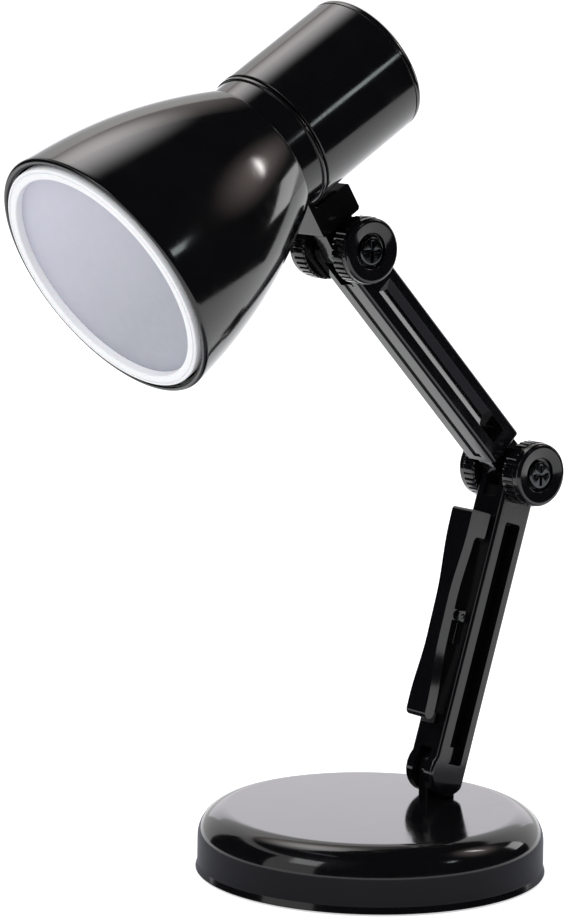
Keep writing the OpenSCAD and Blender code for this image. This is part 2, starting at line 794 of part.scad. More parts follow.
module shade() color(black) {
    inner = [for (p = shade_curve) [p[0] - shade_wall, p[1]]];
    seat_r = spigot_r + seat_gap;
    head_axis() rotate_extrude() difference() {
        union() {
            polygon(concat([[0, 0]], shade_curve, [[0, shade_len]]));
            translate([mouth_r - lip_r, lip_r]) circle(lip_r);
        }
        polygon(concat([[-over, -over], [inner[0][0], -over]],
                       [for (p = inner) if (p[1] < shade_len - shade_wall) p],
                       [[seat_r, shade_len - shade_wall], [seat_r, shade_len + over],
                        [-over, shade_len + over]]));
    }
}

module bezel_ring() color(white) {
    head_axis() rotate_extrude() difference() {
        translate([bezel_inner_r, bezel_z]) square([bezel_r - bezel_inner_r, bezel_len]);
        translate([bezel_inner_r - over, diffuser_z]) square([bezel_seat_w + over, bezel_len]);
        translate([bezel_inner_r + bezel_groove_x, bezel_z - over])
            square([bezel_groove_w, bezel_groove_d + over]);
    }
}

module diffuser() color([0.82, 0.82, 0.87]) {
    head_axis() translate([0, 0, diffuser_z + seat_gap])
        cylinder(h = diffuser_t, r = bezel_inner_r + bezel_seat_w - fit_gap);
}

module reflector() color(white) {
    head_axis() rotate_extrude() polygon([
        [reflector_front_r, reflector_from], [reflector_front_r + reflector_wall, reflector_from],
        [reflector_rear_r + reflector_wall, reflector_to], [reflector_rear_r, reflector_to]]);
}

module led_board() color("forestgreen") {
    head_axis() ring(board_r, board_hole_r, board_z, board_t);
}

module led_chips() color("khaki") {
    head_axis() for (i = [0 : chip_count - 1]) rotate([0, 0, i * 360 / chip_count])
        translate([chip_circle_r, 0, 0]) block(chip_size, chip_size, board_z - seat_gap - chip_t, chip_t);
}

module battery_holder() color(white) {
    head_axis() difference() {
        translate([0, 0, board_z + board_t + seat_gap])
            cylinder(h = cells_z + holder_len - board_z - board_t, r = holder_r);
        translate([0, 0, cells_z - contact_t - 2 * cell_gap])
            cylinder(h = holder_len + contact_t + over, r = cell_r + holder_gap);
    }
}

module front_contact() color(steel) {
    head_axis() translate([0, 0, cells_z - contact_t - cell_gap])
        cylinder(h = contact_t, r = cell_r - contact_inset);
}

module button_cells() color(steel) {
    head_axis() for (i = [0 : cell_count - 1])
        translate([0, 0, cells_z + i * (cell_t + cell_gap)]) cylinder(h = cell_t, r = cell_r);
}

cap_contact_z = cap_z + cap_len - cap_wall - contact_t - seat_gap;
contact_spring_from = cells_z + cells_len + cell_gap;
contact_spring_rise = cap_contact_z - seat_gap - contact_wire - contact_spring_from;
contact_coil_r = 2.2;
contact_coil = [for (i = [0 : contact_turns * rings_per_turn]) let (
        a = 360 * i / rings_per_turn,
        u = i / (contact_turns * rings_per_turn),
        r = contact_coil_r * (1 + u))
    [r * cos(a), r * sin(a), contact_spring_from + contact_wire / 2 + u * contact_spring_rise]];

module cell_spring() color(steel) {
    head_axis() swept_tube(contact_coil, contact_wire / 2, [0, 0.001, 1]);
}

module cap_contact() color(steel) {
    head_axis() translate([0, 0, cap_contact_z]) cylinder(h = contact_t, r = cell_r);
}

module battery_cap() color(black) {
    head_axis() translate([0, 0, cap_z]) rotate_extrude() difference() {
        turned_profile(cap_r, 0, cap_len, cap_edge_r);
        translate([-over, -over]) square([cap_r - cap_wall + over, cap_len - cap_wall + over]);
    }
}

echo(clip_spring_gap = least_distance(clip_coil, rings_per_turn - 2) - spring_wire);
echo(cell_spring_gap = least_distance(contact_coil, rings_per_turn - 2) - contact_wire);

base_cover();
base_weight();
base_plate();
base_screws();
base_pad();
lower_arm();
base_hinge_pin();
base_washers();
elbow_far_knob();
elbow_nut();
clip_leaf();
clip_pad();
clip_pin();
clip_spring();
upper_arm();
neck_far_knob();
neck_nut();
elbow_knob();
elbow_screw();
neck_knob();
neck_screw();
head_collar();
shade();
reflector();
bezel_ring();
diffuser();
led_board();
led_chips();
battery_holder();
front_contact();
button_cells();
cell_spring();
cap_contact();
battery_cap();
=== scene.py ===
import json
import math
import bmesh
import bpy
from mathutils import Matrix, Vector


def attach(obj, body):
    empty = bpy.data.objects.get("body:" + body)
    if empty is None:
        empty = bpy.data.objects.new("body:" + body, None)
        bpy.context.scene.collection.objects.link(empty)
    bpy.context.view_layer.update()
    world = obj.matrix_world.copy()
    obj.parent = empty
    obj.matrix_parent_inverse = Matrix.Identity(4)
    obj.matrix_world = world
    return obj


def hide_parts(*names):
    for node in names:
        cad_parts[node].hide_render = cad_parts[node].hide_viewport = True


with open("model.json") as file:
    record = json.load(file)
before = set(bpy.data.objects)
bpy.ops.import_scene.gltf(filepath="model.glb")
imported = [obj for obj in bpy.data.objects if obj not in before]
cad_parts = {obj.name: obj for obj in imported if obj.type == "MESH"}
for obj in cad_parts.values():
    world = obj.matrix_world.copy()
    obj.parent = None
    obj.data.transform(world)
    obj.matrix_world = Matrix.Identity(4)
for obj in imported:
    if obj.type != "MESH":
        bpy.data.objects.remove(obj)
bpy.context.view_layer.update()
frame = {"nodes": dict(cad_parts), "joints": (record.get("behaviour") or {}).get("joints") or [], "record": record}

# Sizes in the dictionaries are millimetres, finished pieces are metres
mm = 0.001
sideways = Vector((1, 0, 0))
joints = {joint["name"]: joint for joint in frame["joints"]}


def jointPoint(name):
    return Vector(joints[name]["pos_m"])


def placeAt(origin, upward):  # z runs upward, x stays the lamp's own sideways axis, y points to the back
    up = upward.normalized()
    turn = Matrix((sideways, up.cross(sideways), up)).transposed().to_4x4()
    return Matrix.Translation(origin) @ turn @ Matrix.Scale(mm, 4)


def placeBeside(point, side, distance):  # z runs outwards from the arm's side
    turn = Matrix.Rotation(side * math.pi / 2, 4, "Y")
    return Matrix.Translation(point + sideways * side * distance * mm) @ turn @ Matrix.Scale(mm, 4)


headSizes = {"neckToMouth": 43.2}
footPoint = jointPoint("base_fold")
elbowPoint = jointPoint("elbow_fold")
neckPoint = jointPoint("neck_tilt")
headRear = Vector(joints["cap_twist"]["axis"])
mouthPoint = jointPoint("cap_twist") - headRear * headSizes["neckToMouth"] * mm

basePlace = Matrix.Scale(mm, 4)
lowerPlace = placeAt(footPoint, elbowPoint - footPoint)
upperPlace = placeAt(elbowPoint, neckPoint - elbowPoint)
headPlace = placeAt(mouthPoint, headRear)
clipPlace = placeAt(jointPoint("clip_squeeze"), elbowPoint - footPoint)
lowerLength = (elbowPoint - footPoint).length / mm
upperLength = (neckPoint - elbowPoint).length / mm


cameraSettings = {"location": (465.1, -385.66, 164.08), "target": (-25.5, 0, 68.42), "roll": 0.771,
                  "lens": 139.89}


def makeCamera(settings):
    camera = bpy.data.objects.new("camera", bpy.data.cameras.new("camera"))
    bpy.context.scene.collection.objects.link(camera)
    camera.data.lens = settings["lens"]
    location = Vector(settings["location"]) * mm
    away = (location - Vector(settings["target"]) * mm).normalized()
    right = Vector((0, 0, 1)).cross(away).normalized()
    turn = Matrix((right, away.cross(right), away)).transposed().to_4x4()
    roll = Matrix.Rotation(math.radians(settings["roll"]), 4, "Z")
    camera.matrix_world = Matrix.Translation(location) @ turn @ roll
    bpy.context.scene.camera = camera


def direction(azimuth, elevation):  # the way to a place at that azimuth and elevation
    a, e = math.radians(azimuth), math.radians(elevation)
    return Vector((math.sin(a) * math.cos(e), -math.cos(a) * math.cos(e), math.sin(e)))


# Each light is aimed at the spot of the desk lamp that shows its reflection
softboxes = {
    "fillBox": {"aim": (0, 0, 70), "azimuth": 10, "elevation": 40, "distance": 900, "size": (500, 500),
                "radiance": 2.6, "colour": (0.97, 0.98, 1)},
    "stripLight": {"aim": (12, -16, 135), "azimuth": 115.2, "elevation": 18.6, "distance": 340,
                   "size": (34, 26), "radiance": 6.0, "colour": (0.9, 1, 0.98)},
    "baseBox": {"aim": (0, 0, 11), "azimuth": -130, "elevation": 15, "distance": 700, "size": (620, 200),
                "radiance": 0.85, "colour": (0.93, 0.88, 1)},
    "armBox": {"aim": (3, 11, 88), "azimuth": 168.5, "elevation": 10.3, "distance": 370, "size": (84, 100),
               "radiance": 3.4, "colour": (1, 0.99, 1)},
}

# Cards whose glow fades towards their rims, seen in reflections alone
glowCards = {
    "keyGlow": {"aim": (4, -25, 140), "azimuth": -94, "elevation": 61, "distance": 400, "size": (380, 420),
                "radiance": 4.4, "colour": (1, 0.97, 0.97)},
    "topGlow": {"aim": (0, -45, 120), "azimuth": -112, "elevation": 48, "distance": 560, "size": (700, 560),
                "radiance": 1.0, "colour": (1, 0.9, 0.86)},
    "sideGlow": {"aim": (17, -40, 123), "azimuth": 154, "elevation": 29, "distance": 350, "size": (270, 250),
                 "radiance": 1.6, "colour": (1, 0.82, 0.78)},
    "sparkGlow": {"aim": (17, -40, 123), "azimuth": 157, "elevation": 30, "distance": 340, "size": (20, 120),
                  "radiance": 30.0, "colour": (1, 0.96, 0.94)},
}


def makeGlowCard(name, settings):
    shape = bmesh.new()
    shape.loops.layers.uv.new("cardMap")
    bmesh.ops.create_grid(shape, x_segments=1, y_segments=1, size=0.5, calc_uvs=True)
    toCard = direction(settings["azimuth"], settings["elevation"])
    middle = Vector(settings["aim"]) + toCard * settings["distance"]
    turn = toCard.to_track_quat("Z", "Y").to_matrix().to_4x4()
    moved(shape, basePlace @ Matrix.Translation(middle) @ turn @ Matrix.Diagonal((*settings["size"], 1, 1)))
    card = linkMesh(name, shape)
    material, tree = bareMaterial(name)
    cardMap = tree.nodes.new("ShaderNodeTexCoord")
    outward = tree.nodes.new("ShaderNodeVectorMath")
    outward.operation = "DISTANCE"
    outward.inputs[1].default_value = (0.5, 0.5, 0)
    tree.links.new(cardMap.outputs["UV"], outward.inputs[0])
    fade = remapped(tree, outward.outputs["Value"], 0, 0.5, settings["radiance"], 0)
    fade.node.interpolation_type = "SMOOTHSTEP"
    glow = tree.nodes.new("ShaderNodeEmission")
    glow.inputs["Color"].default_value = (*settings["colour"], 1)
    tree.links.new(fade, glow.inputs["Strength"])
    summedSurface(tree, glow, tree.nodes.new("ShaderNodeBsdfTransparent"))
    card.data.materials.append(material)
    seenByGlossAlone(card)


def bareMaterial(name):  # a material without its usual shader
    material = bpy.data.materials.new(name)
    material.use_nodes = True
    tree = material.node_tree
    tree.nodes.remove(tree.nodes["Principled BSDF"])
    return material, tree


def summedSurface(tree, first, second):
    both = tree.nodes.new("ShaderNodeAddShader")
    tree.links.new(first.outputs[0], both.inputs[0])
    tree.links.new(second.outputs[0], both.inputs[1])
    tree.links.new(both.outputs[0], tree.nodes["Material Output"].inputs["Surface"])


def seenByGlossAlone(card):
    for ray in ("camera", "diffuse", "transmission", "shadow", "volume_scatter"):
        setattr(card, "visible_" + ray, False)


def makeSoftbox(name, settings):
    light = bpy.data.lights.new(name, "AREA")
    light.shape = "RECTANGLE"
    light.size = settings["size"][0] * mm
    light.size_y = settings["size"][1] * mm
    light.energy = settings["radiance"] * math.pi * light.size * light.size_y
    light.color = settings["colour"]
    lamp = bpy.data.objects.new(name, light)
    bpy.context.scene.collection.objects.link(lamp)
    toLamp = direction(settings["azimuth"], settings["elevation"])
    lamp.location = Vector(settings["aim"]) * mm + toLamp * settings["distance"] * mm
    lamp.rotation_mode = "QUATERNION"
    lamp.rotation_quaternion = toLamp.to_track_quat("Z", "Y")
    lamp.visible_camera = False


worldSettings = {"seen": 1.0, "ambient": 0.86, "tint": (0.97, 0.98, 1.0)}
floorSettings = {"radius": 4000, "drop": 0.02, "colour": (0.9, 0.9, 0.9), "glow": 0.6}


def seenDirectly(tree):  # 1 on camera, glossy and transmission rays
    path = tree.nodes.new("ShaderNodeLightPath")
    straight = mathNode(tree, "MAXIMUM", path.outputs["Is Camera Ray"], path.outputs["Is Glossy Ray"])
    return mathNode(tree, "MAXIMUM", straight, path.outputs["Is Transmission Ray"])


def makeWorld(settings):
    world = bpy.data.worlds.new("studio")
    bpy.context.scene.world = world
    world.use_nodes = True
    tree = world.node_tree
    background = tree.nodes["Background"]
    background.inputs["Color"].default_value = (1, 1, 1, 1)
    dim = tree.nodes.new("ShaderNodeBackground")
    dim.inputs["Color"].default_value = (*settings["tint"], 1)
    dim.inputs["Strength"].default_value = settings["ambient"]
    background.inputs["Strength"].default_value = settings["seen"]
    mix = tree.nodes.new("ShaderNodeMixShader")
    tree.links.new(seenDirectly(tree), mix.inputs["Fac"])
    tree.links.new(dim.outputs[0], mix.inputs[1])
    tree.links.new(background.outputs[0], mix.inputs[2])
    tree.links.new(mix.outputs[0], tree.nodes["World Output"].inputs["Surface"])


def makeFloor(settings):
    shape = bmesh.new()
    bmesh.ops.create_circle(shape, cap_ends=True, segments=96, radius=settings["radius"] * mm)
    bmesh.ops.translate(shape, verts=shape.verts, vec=(0, 0, -settings["drop"] * mm))
    floor = linkMesh("floor", shape)
    material, tree = bareMaterial("paleFloor")
    diffuse = tree.nodes.new("ShaderNodeBsdfDiffuse")
    diffuse.inputs["Color"].default_value = (*settings["colour"], 1)
    glow = tree.nodes.new("ShaderNodeEmission")
    brightness = mathNode(tree, "MULTIPLY", seenDirectly(tree), settings["glow"])
    tree.links.new(brightness, glow.inputs["Strength"])
    summedSurface(tree, diffuse, glow)
    floor.data.materials.append(material)


# Black cards that only reflections see, as a photographer sets them: they keep the gloss deep
cardSettings = {"ceilingRadius": 620, "ceiling": 620, "colour": (0.012, 0.012, 0.013), "walls": [
    {"radius": 420, "fromAzimuth": 15, "toAzimuth": 176, "low": 0, "high": 620},
    {"radius": 330, "fromAzimuth": -76, "toAzimuth": -20, "low": -0.01, "high": 260}]}
# Painted shade under the base: a grey card that reflections see in place of the shaded floor
floorShadeCardSettings = {"radius": 84, "drop": 0.01, "colour": (0.36, 0.36, 0.4)}


def makeFloorShadeCard(settings):  # painted shade: a grey card, seen in reflections alone, stands for the floor's shadow around the base and darkens what the base's wall reflects
    shape = bmesh.new()
    bmesh.ops.create_circle(shape, cap_ends=True, segments=96, radius=settings["radius"] * mm,
                            matrix=Matrix.Translation((0, 0, -settings["drop"] * mm)))
    finishCard("floorShadeCard", shape, settings["colour"])


def finishCard(name, shape, colour):
    card = linkMesh(name, shape)
    matt = {"Base Color": (*colour, 1), "Roughness": 0.9, "Specular IOR Level": 0}
    card.data.materials.append(startMaterial(name, matt)[0])
    seenByGlossAlone(card)


def makeBlackCards(settings):
    shape = bmesh.new()
    for wall in settings["walls"]:
        start = direction(wall["fromAzimuth"], 0) * wall["radius"]
        low = shape.verts.new(start + Vector((0, 0, wall["low"])))
        high = shape.verts.new(start + Vector((0, 0, wall["high"])))
        edge = shape.edges.new((low, high))
        sweep = math.radians(wall["toAzimuth"] - wall["fromAzimuth"])
        bmesh.ops.spin(shape, geom=[low, high, edge], axis=(0, 0, 1), angle=sweep, steps=40)
    bmesh.ops.create_circle(shape, cap_ends=True, segments=64, radius=settings["ceilingRadius"],
                            matrix=Matrix.Translation((0, 0, settings["ceiling"])))
    bmesh.ops.transform(shape, matrix=basePlace, verts=shape.verts)
    finishCard("blackCards", shape, settings["colour"])


def linkMesh(name, shape):
    mesh = bpy.data.meshes.new(name)
    shape.to_mesh(mesh)
    shape.free()
    piece = bpy.data.objects.new(name, mesh)
    bpy.context.scene.collection.objects.link(piece)
    return piece


def rounded(corners, closed=True, steps=5):  # corners are (x, y, radius); each radius becomes an arc
    points = []
    last = len(corners) - 1
    for index, (x, y, radius) in enumerate(corners):
        here = Vector((x, y))
        if radius == 0 or (not closed and index in (0, last)):
            points.append(here)
            continue
        before = (Vector(corners[index - 1][:2]) - here).normalized()
        after = (Vector(corners[(index + 1) % len(corners)][:2]) - here).normalized()
        halfAngle = before.angle(after) / 2
        reach = radius / math.tan(halfAngle)
        centre = here + (before + after).normalized() * (radius / math.sin(halfAngle))
        first = (here + before * reach - centre).normalized()
        final = (here + after * reach - centre).normalized()
        points += [centre + first.slerp(final, step / steps) * radius for step in range(steps + 1)]
    return points


def arc(centre, radius, start, end, steps=24):  # angles in degrees, counted from the first axis to the second
    angles = [math.radians(start + (end - start) * step / steps) for step in range(steps + 1)]
    return [Vector((centre[0] + radius * math.cos(a), centre[1] + radius * math.sin(a))) for a in angles]


weldDistance, cutWeldDistance = 0.0005, 0.002  # in millimetres, after a shape is made and after it is cut


def turned(profile, closed=False, segments=144):  # spins (radius, height) points about z
    shape = bmesh.new()
    verts = [shape.verts.new((point[0], 0, point[1])) for point in profile]
    edges = [shape.edges.new(pair) for pair in zip(verts, verts[1:])]
    if closed:
        edges.append(shape.edges.new((verts[-1], verts[0])))
    bmesh.ops.spin(shape, geom=verts + edges, axis=(0, 0, 1), angle=math.tau, steps=segments, use_merge=True)
    bmesh.ops.remove_doubles(shape, verts=shape.verts, dist=weldDistance)
    bmesh.ops.dissolve_degenerate(shape, edges=shape.edges, dist=weldDistance)
    bmesh.ops.recalc_face_normals(shape, faces=shape.faces)
    return shape


def prism(outline, low, high):  # a flat outline in x and y, raised from low to high
    shape = bmesh.new()
    face = shape.faces.new([shape.verts.new((point[0], point[1], low)) for point in outline])
    grown = bmesh.ops.extrude_face_region(shape, geom=[face])["geom"]
    top = [part for part in grown if isinstance(part, bmesh.types.BMVert)]
    bmesh.ops.translate(shape, verts=top, vec=(0, 0, high - low))
    bmesh.ops.recalc_face_normals(shape, faces=shape.faces)
    return shape


# Turns a prism drawn in y and z so that it is raised along x
alongX = Matrix(((0, 0, 1, 0), (1, 0, 0, 0), (0, 1, 0, 0), (0, 0, 0, 1)))
# Turns a prism drawn in x and z so that it is raised along -y
alongY = Matrix(((1, 0, 0, 0), (0, 0, -1, 0), (0, 1, 0, 0), (0, 0, 0, 1)))


def moved(shape, matrix):
    bmesh.ops.transform(shape, matrix=matrix, verts=shape.verts)
    return shape


def sidePrism(outline, low, high):
    return moved(prism(outline, low, high), alongX)


def straightBar(radius, length, segments):  # along z, centred
    shape = bmesh.new()
    bmesh.ops.create_cone(shape, cap_ends=True, segments=segments, radius1=radius, radius2=radius,
                          depth=length)
    return shape


def rod(radius, low, high, segments=64):  # a round bar along x
    turn = Matrix.Translation(((high + low) / 2, 0, 0)) @ Matrix.Rotation(math.pi / 2, 4, "Y")
    return moved(straightBar(radius, high - low, segments), turn)


def box(width, depth, low, high):
    shape = bmesh.new()
    bmesh.ops.create_cube(shape, size=1)
    middle = Matrix.Translation((0, 0, (low + high) / 2))
    return moved(shape, middle @ Matrix.Diagonal((width, depth, high - low, 1)))


def shifted(shape, x=0, y=0, z=0):
    return moved(shape, Matrix.Translation((x, y, z)))


def combined(shape, changes):  # changes are (a Boolean's operation, its shape), made in turn
    base = linkMesh("base", shape)
    others = []
    for operation, other in changes:
        piece = linkMesh("tool", other)
        modifier = base.modifiers.new(operation, "BOOLEAN")
        modifier.operation = operation
        modifier.solver = "EXACT"
        modifier.object = piece
        others.append(piece)
    graph = bpy.context.evaluated_depsgraph_get()
    mesh = bpy.data.meshes.new_from_object(base.evaluated_get(graph))
    for piece in [base] + others:
        old = piece.data
        bpy.data.objects.remove(piece)
        bpy.data.meshes.remove(old)
    result = bmesh.new()
    result.from_mesh(mesh)
    bpy.data.meshes.remove(mesh)
    bmesh.ops.remove_doubles(result, verts=result.verts, dist=cutWeldDistance)
    bmesh.ops.dissolve_degenerate(result, edges=result.edges, dist=cutWeldDistance)
    return result


def softened(shape, width, segments=2, angle=35):  # bevels every edge sharper than the angle
    sharp = [edge for edge in shape.edges
             if len(edge.link_faces) == 2 and edge.calc_face_angle() > math.radians(angle)]
    bmesh.ops.bevel(shape, geom=sharp, offset=width, offset_type="OFFSET", segments=segments, profile=0.5,
                    affect="EDGES", clamp_overlap=False, material=-1)
    bmesh.ops.remove_doubles(shape, verts=shape.verts, dist=weldDistance)
    return shape


def makePiece(name, shape, place, body, material, nodes=(), edge=0, smoothAngle=40):
    moved(shape, place)
    for face in shape.faces:
        face.smooth = True
    piece = linkMesh(name, shape)
    piece.data.materials.append(material)
    if edge:
        rounding = piece.modifiers.new("roundedEdges", "BEVEL")
        rounding.width = edge * mm
        rounding.segments = 2
        rounding.limit_method = "ANGLE"
        rounding.angle_limit = math.radians(smoothAngle)
    else:
        piece.data.set_sharp_from_angle(angle=math.radians(smoothAngle))
    normals = piece.modifiers.new("evenNormals", "WEIGHTED_NORMAL")
    normals.keep_sharp = True
    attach(piece, body)
    if nodes:
        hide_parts(*nodes)
    return piece


def startMaterial(name, settings):
    material = bpy.data.materials.new(name)
    material.use_nodes = True
    shader = material.node_tree.nodes["Principled BSDF"]
    for socket, value in settings.items():
        shader.inputs[socket].default_value = value
    return material, material.node_tree, shader


def objectPoint(tree, stretch=(1, 1, 1)):
    coordinates = tree.nodes.new("ShaderNodeTexCoord")
    mapping = tree.nodes.new("ShaderNodeMapping")
    mapping.inputs["Scale"].default_value = stretch
    tree.links.new(coordinates.outputs["Object"], mapping.inputs["Vector"])
    return mapping.outputs["Vector"]


def noise(tree, point, scale, detail=2.0, roughness=0.5):
    texture = tree.nodes.new("ShaderNodeTexNoise")
    texture.inputs["Scale"].default_value = scale
    texture.inputs["Detail"].default_value = detail
    texture.inputs["Roughness"].default_value = roughness
    tree.links.new(point, texture.inputs["Vector"])
    return texture.outputs["Fac"]


def remapped(tree, value, fromLow, fromHigh, toLow, toHigh):
    remap = tree.nodes.new("ShaderNodeMapRange")
    limits = {"From Min": fromLow, "From Max": fromHigh, "To Min": toLow, "To Max": toHigh}
    for socket, number in limits.items():
        remap.inputs[socket].default_value = number
    tree.links.new(value, remap.inputs["Value"])
    return remap.outputs["Result"]


def mathNode(tree, operation, first, second):
    node = tree.nodes.new("ShaderNodeMath")
    node.operation = operation
    for socket, value in zip(node.inputs, (first, second)):
        if isinstance(value, (int, float)):
            socket.default_value = value
        else:
            tree.links.new(value, socket)
    return node.outputs[0]


def mixedColour(tree, factor, first, second):
    mix = tree.nodes.new("ShaderNodeMix")
    mix.data_type = "RGBA"
    mix.inputs["A"].default_value = (*first, 1)
    mix.inputs["B"].default_value = (*second, 1)
    tree.links.new(factor, mix.inputs["Factor"])
    return mix.outputs["Result"]


def bumped(tree, shader, height, distance, strength):
    bump = tree.nodes.new("ShaderNodeBump")
    bump.inputs["Distance"].default_value = distance
    bump.inputs["Strength"].default_value = strength
    tree.links.new(height, bump.inputs["Height"])
    tree.links.new(bump.outputs["Normal"], shader.inputs["Normal"])


# Patterns are in cycles per metre: 1000 is one per millimetre
glossBlackLook = {"dark": (0.002, 0.002, 0.0024), "light": (0.004, 0.004, 0.0046), "polish": (0.08, 0.13),
                  "ior": 1.47, "haze": 160, "peel": 700, "peelDepth": 0.004, "scratches": 2600}
satinBlackLook = {"dark": (0.002, 0.002, 0.0026), "light": (0.004, 0.004, 0.005), "polish": (0.07, 0.13),
                  "ior": 1.5, "haze": 240, "peel": 1100, "peelDepth": 0.006, "scratches": 3200}
knobBlackLook = {"dark": (0.002, 0.002, 0.0026), "light": (0.004, 0.004, 0.005), "polish": (0.08, 0.14),
                 "ior": 1.48, "haze": 400, "peel": 1500, "peelDepth": 0.004, "scratches": 4000}
rubMarks = {"stretch": (0.12, 1, 0.3), "from": 0.62, "to": 0.75, "roughening": 0.05}


def blackPlastic(name, look):
    material, tree, shader = startMaterial(name, {"IOR": look["ior"]})
    point = objectPoint(tree)
    haze = noise(tree, point, look["haze"], 3.0)
    tree.links.new(mixedColour(tree, haze, look["dark"], look["light"]), shader.inputs["Base Color"])
    polish = remapped(tree, haze, 0.3, 0.7, *look["polish"])
    rubs = noise(tree, objectPoint(tree, rubMarks["stretch"]), look["scratches"], 1.0)
    rubs = remapped(tree, rubs, rubMarks["from"], rubMarks["to"], 0.0, rubMarks["roughening"])
    tree.links.new(mathNode(tree, "ADD", polish, rubs), shader.inputs["Roughness"])
    bumped(tree, shader, noise(tree, point, look["peel"], 2.0), look["peelDepth"] * mm, 0.5)
    return material


def whitePlastic(name, low, high, rough, sheen, paintedShading=None):
    material, tree, shader = startMaterial(name, {"IOR": 1.46, "Subsurface Weight": 0.08,
                                                  "Subsurface Scale": sheen * mm})
    point = objectPoint(tree)
    toneAndShading = noise(tree, point, 90, 3.0)
    if paintedShading:  # painted shading: the tone runs from darker to lighter along a direction, as light falls across the part, with a little cloud in it
        along = tree.nodes.new("ShaderNodeVectorMath")
        along.operation = "DOT_PRODUCT"
        along.inputs[1].default_value = paintedShading["along"]
        tree.links.new(point, along.inputs[0])
        shadingRamp = remapped(tree, along.outputs["Value"], paintedShading["from"], paintedShading["to"], -0.05, 0.95)
        toneAndShading = mathNode(tree, "ADD", shadingRamp, mathNode(tree, "MULTIPLY", toneAndShading, 0.1))
    tree.links.new(mixedColour(tree, toneAndShading, low, high), shader.inputs["Base Color"])
    tree.links.new(remapped(tree, noise(tree, point, 700), 0.3, 0.7, *rough), shader.inputs["Roughness"])
    bumped(tree, shader, noise(tree, point, 2600, 2.0), 0.003 * mm, 0.4)
    return material


def metal(name, low, high, rough, grain):
    material, tree, shader = startMaterial(name, {"Metallic": 1.0})
    point = objectPoint(tree)
    tone = noise(tree, point, 500, 4.0)
    tree.links.new(mixedColour(tree, tone, low, high), shader.inputs["Base Color"])
    brushed = noise(tree, objectPoint(tree, grain), 2500, 2.0)
    tree.links.new(remapped(tree, brushed, 0.3, 0.7, *rough), shader.inputs["Roughness"])
    bumped(tree, shader, brushed, 0.002 * mm, 0.3)
    return material


def roughMatt(name, low, high, scale, rough, depth):
    material, tree, shader = startMaterial(name, {"IOR": 1.45})
    point = objectPoint(tree)
    grain = noise(tree, point, scale, 5.0, 0.6)
    tree.links.new(mixedColour(tree, grain, low, high), shader.inputs["Base Color"])
    tree.links.new(remapped(tree, grain, 0.2, 0.8, *rough), shader.inputs["Roughness"])
    bumped(tree, shader, grain, depth * mm, 0.6)
    return material


bpy.context.scene.view_settings.view_transform = "Standard"
makeCamera(cameraSettings)
for boxName, boxSettings in softboxes.items():
    makeSoftbox(boxName, boxSettings)
makeWorld(worldSettings)
makeFloor(floorSettings)
makeBlackCards(cardSettings)
makeFloorShadeCard(floorShadeCardSettings)
for cardName, glowSettings in glowCards.items():
    makeGlowCard(cardName, glowSettings)
print("stage is set")

glossBlack = blackPlastic("glossBlack", glossBlackLook)
satinBlack = blackPlastic("satinBlack", satinBlackLook)
knobBlack = blackPlastic("knobBlack", knobBlackLook)
bezelWhite = whitePlastic("bezelWhite", (0.9, 0.9, 0.91), (0.94, 0.94, 0.95), (0.3, 0.4), 0.3)
# The diffuser gets painted shading: lighter towards the top, darker towards the bottom
diffuserFrost = whitePlastic("diffuserFrost", (0.38, 0.39, 0.44), (0.66, 0.65, 0.75), (0.4, 0.55), 3,
                             {"along": (-0.45, 0, 0.89), "from": 0.086, "to": 0.118})
innerWhite = whitePlastic("innerWhite", (0.78, 0.78, 0.77), (0.84, 0.84, 0.83), (0.5, 0.6), 1)
darkSteel = metal("darkSteel", (0.035, 0.038, 0.04), (0.07, 0.074, 0.078), (0.14, 0.26), (1, 1, 8))
nickel = metal("nickel", (0.62, 0.63, 0.65), (0.72, 0.73, 0.75), (0.14, 0.3), (1, 1, 8))
castIron = roughMatt("castIron", (0.12, 0.12, 0.13), (0.2, 0.2, 0.21), 900, (0.5, 0.8), 0.02)
padRubber = roughMatt("padRubber", (0.018, 0.018, 0.018), (0.035, 0.035, 0.035), 2400, (0.75, 0.95), 0.03)
boardGreen = roughMatt("boardGreen", (0.02, 0.16, 0.06), (0.04, 0.22, 0.09), 1500, (0.35, 0.5), 0.004)
chipYellow = roughMatt("chipYellow", (0.75, 0.62, 0.2), (0.85, 0.75, 0.3), 2500, (0.4, 0.6), 0.003)
springBrass = metal("springBrass", (0.7, 0.52, 0.24), (0.8, 0.64, 0.32), (0.2, 0.35), (1, 8, 1))
finishes = {"gloss_black": glossBlack, "satin_black": satinBlack, "knob_black": knobBlack,
            "rubber_pad": padRubber, "bezel_white": bezelWhite, "diffuser_frost": diffuserFrost,
            "inner_white": innerWhite, "steel": nickel, "weight_iron": castIron, "board_green": boardGreen,
            "chip_yellow": chipYellow, "contact_brass": springBrass}
nodeSlots = {part["node"]: part["material_slot"] for part in frame["record"]["subparts"]}
for nodeName, node in frame["nodes"].items():
    node.data.materials.clear()
    node.data.materials.append(darkSteel if nodeName == "base_washers" else finishes[nodeSlots[nodeName]])
print("materials are made")


shadeSizes = {"mouth": 22.6, "rear": 13.0, "length": 34.6, "wall": 1.3, "lip": 0.55, "seat": 10.52,
              "seatEdge": 0.1, "innerEnd": 3, "rearEdge": 0.7, "mouthHandle": (-1.1, 14),
              "rearHandle": (4.9, -9.8)}


def curve(ends, handles, steps):  # a cubic curve through two ends
    points = []
    for step in range(steps + 1):
        t = step / steps
        u = 1 - t
        points.append(Vector(ends[0]) * u ** 3 + Vector(handles[0]) * 3 * u * u * t
                      + Vector(handles[1]) * 3 * u * t * t + Vector(ends[1]) * t ** 3)
    return points


